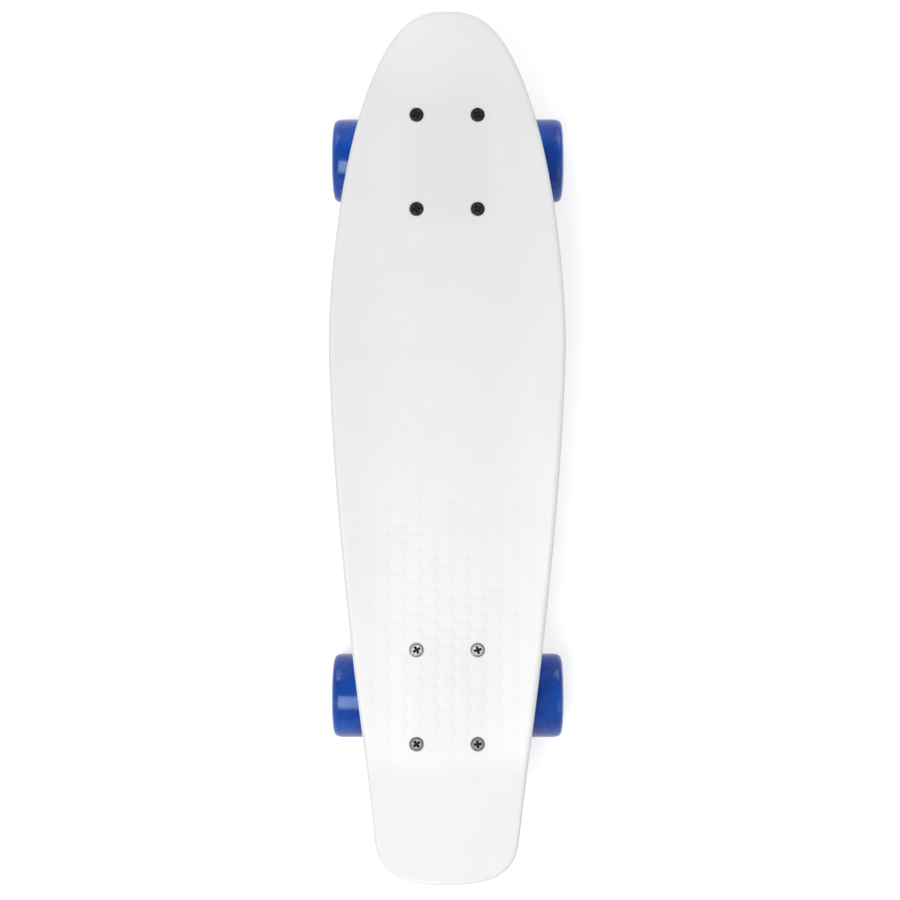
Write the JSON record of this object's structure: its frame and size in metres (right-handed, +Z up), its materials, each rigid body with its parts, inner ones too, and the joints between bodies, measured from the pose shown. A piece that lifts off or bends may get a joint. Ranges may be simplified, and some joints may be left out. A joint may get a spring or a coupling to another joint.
{
  "type": "cruiser skateboard",
  "caption": "Small moulded-plastic cruiser board with a rounded nose and kicked tail, on sprung steering trucks with wide soft wheels.",
  "frame": {"origin": "on the ground, under the middle of the deck's length and width", "axes": "+X towards the nose, +Y to the rider's left, +Z up"},
  "size_m": [0.5796, 0.1616, 0.1336],
  "materials": {
    "deck_plastic": "white injection-moulded polypropylene, semi-gloss, with a shallow grip relief",
    "wheel_urethane": "translucent blue cast polyurethane, glossy",
    "black_screw": "black oxide steel, satin",
    "bright_screw": "zinc-plated steel, slightly dulled",
    "zinc_steel": "bright zinc-plated steel",
    "cast_aluminium": "tumbled die-cast aluminium",
    "bushing_urethane": "off-white cast polyurethane, satin",
    "cup_plastic": "dark moulded urethane, matte",
    "bearing_steel": "ground steel race with pressed shields",
    "axle_steel": "hardened steel, threaded at the ends"
  },
  "bodies": {
    "board_body": {"deck": "deck_plastic", "front_outer_left_bolt": "black_screw", "front_outer_left_lock_nut": "zinc_steel", "front_outer_right_bolt": "black_screw", "front_outer_right_lock_nut": "zinc_steel", "front_inner_left_bolt": "black_screw", "front_inner_left_lock_nut": "zinc_steel", "front_inner_right_bolt": "black_screw", "front_inner_right_lock_nut": "zinc_steel", "front_baseplate": "cast_aluminium", "front_pivot_cup": "cup_plastic", "front_kingpin": "zinc_steel", "front_kingpin_nut": "zinc_steel", "front_boardside_bushing": "bushing_urethane", "front_roadside_bushing": "bushing_urethane", "front_boardside_washer": "zinc_steel", "front_roadside_washer": "zinc_steel", "rear_outer_left_bolt": "bright_screw", "rear_outer_left_lock_nut": "zinc_steel", "rear_outer_right_bolt": "bright_screw", "rear_outer_right_lock_nut": "zinc_steel", "rear_inner_left_bolt": "bright_screw", "rear_inner_left_lock_nut": "zinc_steel", "rear_inner_right_bolt": "bright_screw", "rear_inner_right_lock_nut": "zinc_steel", "rear_baseplate": "cast_aluminium", "rear_pivot_cup": "cup_plastic", "rear_kingpin": "zinc_steel", "rear_kingpin_nut": "zinc_steel", "rear_boardside_bushing": "bushing_urethane", "rear_roadside_bushing": "bushing_urethane", "rear_boardside_washer": "zinc_steel", "rear_roadside_washer": "zinc_steel"},
    "front_hanger_body": {"front_hanger": "cast_aluminium", "front_axle": "axle_steel", "front_left_bearing_spacer": "axle_steel", "front_left_axle_nut": "zinc_steel", "front_right_bearing_spacer": "axle_steel", "front_right_axle_nut": "zinc_steel"},
    "rear_hanger_body": {"rear_hanger": "cast_aluminium", "rear_axle": "axle_steel", "rear_left_bearing_spacer": "axle_steel", "rear_left_axle_nut": "zinc_steel", "rear_right_bearing_spacer": "axle_steel", "rear_right_axle_nut": "zinc_steel"},
    "front_left_wheel_body": {"front_left_wheel": "wheel_urethane", "front_left_inner_bearing": "bearing_steel", "front_left_outer_bearing": "bearing_steel"},
    "front_right_wheel_body": {"front_right_wheel": "wheel_urethane", "front_right_inner_bearing": "bearing_steel", "front_right_outer_bearing": "bearing_steel"},
    "rear_left_wheel_body": {"rear_left_wheel": "wheel_urethane", "rear_left_inner_bearing": "bearing_steel", "rear_left_outer_bearing": "bearing_steel"},
    "rear_right_wheel_body": {"rear_right_wheel": "wheel_urethane", "rear_right_inner_bearing": "bearing_steel", "rear_right_outer_bearing": "bearing_steel"}
  },
  "joints": [
    {"name": "front_steer", "type": "hinge", "parent": "board_body", "child": "front_hanger_body", "pos_m": [0.176, 0, 0.04625], "axis": [0.8732, 0, 0.4874], "range_deg": [-15, 15], "stiffness_Nm_per_rad": 45, "deforming": ["front_boardside_bushing", "front_roadside_bushing"]},
    {"name": "rear_steer", "type": "hinge", "parent": "board_body", "child": "rear_hanger_body", "pos_m": [-0.157, 0, 0.04625], "axis": [0.8732, 0, -0.4874], "range_deg": [-15, 15], "stiffness_Nm_per_rad": 45, "deforming": ["rear_boardside_bushing", "rear_roadside_bushing"]},
    {"name": "front_left_spin", "type": "hinge", "parent": "front_hanger_body", "child": "front_left_wheel_body", "pos_m": [0.1974, 0.0583, 0.02925], "axis": [0, 1, 0], "continuous": true},
    {"name": "front_right_spin", "type": "hinge", "parent": "front_hanger_body", "child": "front_right_wheel_body", "pos_m": [0.1974, -0.0583, 0.02925], "axis": [0, 1, 0], "continuous": true},
    {"name": "rear_left_spin", "type": "hinge", "parent": "rear_hanger_body", "child": "rear_left_wheel_body", "pos_m": [-0.1784, 0.0583, 0.02925], "axis": [0, 1, 0], "continuous": true},
    {"name": "rear_right_spin", "type": "hinge", "parent": "rear_hanger_body", "child": "rear_right_wheel_body", "pos_m": [-0.1784, -0.0583, 0.02925], "axis": [0, 1, 0], "continuous": true}
  ]
}
